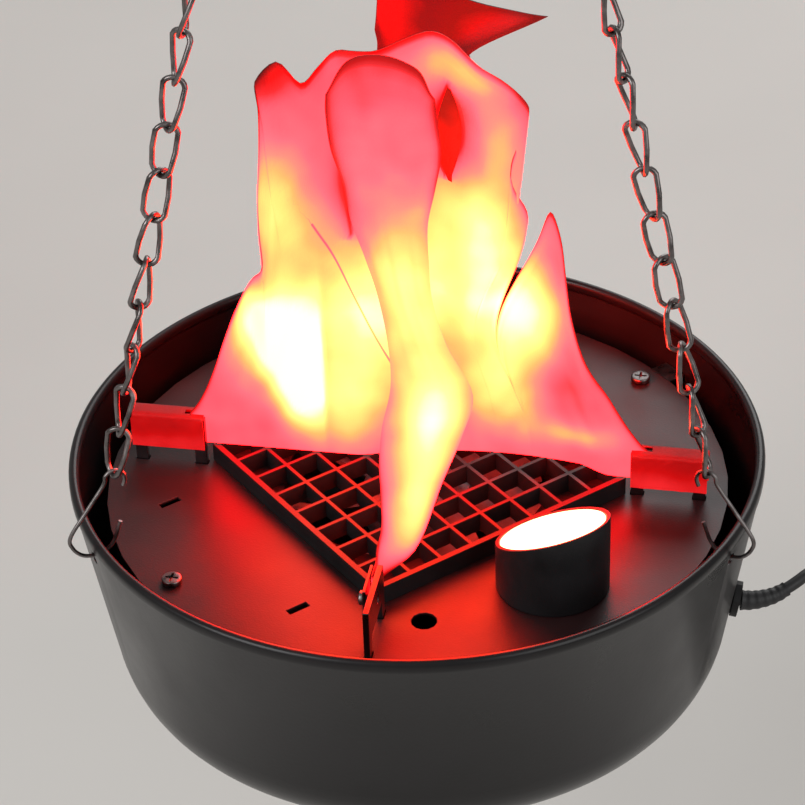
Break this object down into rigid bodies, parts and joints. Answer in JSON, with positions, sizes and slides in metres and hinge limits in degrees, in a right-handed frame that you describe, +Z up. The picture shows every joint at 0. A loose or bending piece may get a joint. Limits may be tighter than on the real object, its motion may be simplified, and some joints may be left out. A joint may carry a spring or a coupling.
{
  "type": "silk flame effect light",
  "caption": "Hanging flame effect light: a black bowl on chains with white silk over a square grille, a fan and lamp pods that lift and light it, and a lead with a plug.",
  "frame": {"origin": "where the top hook bears on what the light hangs from, midway across its wire, at the inside top of its upper bend", "axes": "+Z up, +X towards the side where the lead leaves the bowl, -Y towards the front of the light"},
  "size_m": [0.3228, 0.2878, 0.8461],
  "materials": {
    "black_metal": "black stove enamel, semi-gloss",
    "black_plate": "black powder coat",
    "black_plastic": "matt black moulding",
    "grey_plastic": "matt grey moulding",
    "steel": "zinc plated wire and screws",
    "brass": "nickel plated brass pins",
    "aluminium": "plain turned",
    "copper": "enamelled windings",
    "board": "white",
    "lens": "frosted, lit warm white",
    "silk": "thin white silk",
    "cord": "matt black"
  },
  "bodies": {
    "hook": {"top_hook": "steel"},
    "ring": {"hanging_ring": "steel"},
    "lamp": {"bowl_shell": "black_metal", "top_plate": "black_plate", "grille": "black_plastic", "plate_bracket_1": "steel", "plate_screw_1": "steel", "plate_bracket_2": "steel", "plate_screw_2": "steel", "silk_arm_right": "black_metal", "silk_clamp_right": "black_metal", "clamp_screw_right": "steel", "silk_arm_back": "black_metal", "silk_clamp_back": "black_metal", "clamp_screw_back": "steel", "silk_arm_left": "black_metal", "silk_clamp_left": "black_metal", "clamp_screw_left": "steel", "silk_arm_front": "black_metal", "silk_clamp_front": "black_metal", "clamp_screw_front": "steel", "silk_cross": "silk", "silk_front": "silk", "silk_back": "silk", "lamp_housing_front": "black_plastic", "lamp_lens_front": "lens", "led_board_front": "board", "heat_sink_front": "aluminium", "lamp_housing_back": "black_plastic", "lamp_lens_back": "lens", "led_board_back": "board", "heat_sink_back": "aluminium", "fan_frame": "black_plastic", "fan_stator": "copper", "fan_bearing_bottom": "steel", "fan_bearing_top": "steel", "fan_screw_1": "steel", "fan_screw_2": "steel", "fan_screw_3": "steel", "fan_screw_4": "steel", "lamp_driver": "grey_plastic", "terminal_block": "board", "cord_gland": "black_plastic", "gland_nut": "black_plastic", "strain_relief": "cord", "power_cord": "cord", "cord_coil": "cord", "cord_tie": "grey_plastic", "plug_body": "cord", "plug_pin_1": "brass", "plug_pin_2": "brass", "mains_tail": "cord", "rim_hook_left": "steel", "chain_left": "steel", "rim_hook_right": "steel", "chain_right": "steel", "rim_hook_back": "steel", "chain_back": "steel"},
    "impeller": {"fan_impeller": "grey_plastic"}
  },
  "joints": [
    {"name": "ring_swing", "type": "hinge", "parent": "hook", "child": "ring", "pos_m": [0, 0, -0.048], "axis": [0, 1, 0], "range_deg": [-20, 20]},
    {"name": "lamp_swing", "type": "hinge", "parent": "ring", "child": "lamp", "pos_m": [0, 0, -0.0794], "axis": [1, 0, 0], "range_deg": [-20, 20]},
    {"name": "fan_spin", "type": "hinge", "parent": "lamp", "child": "impeller", "pos_m": [0, 0, -0.6464], "axis": [0, 0, 1], "continuous": true}
  ]
}
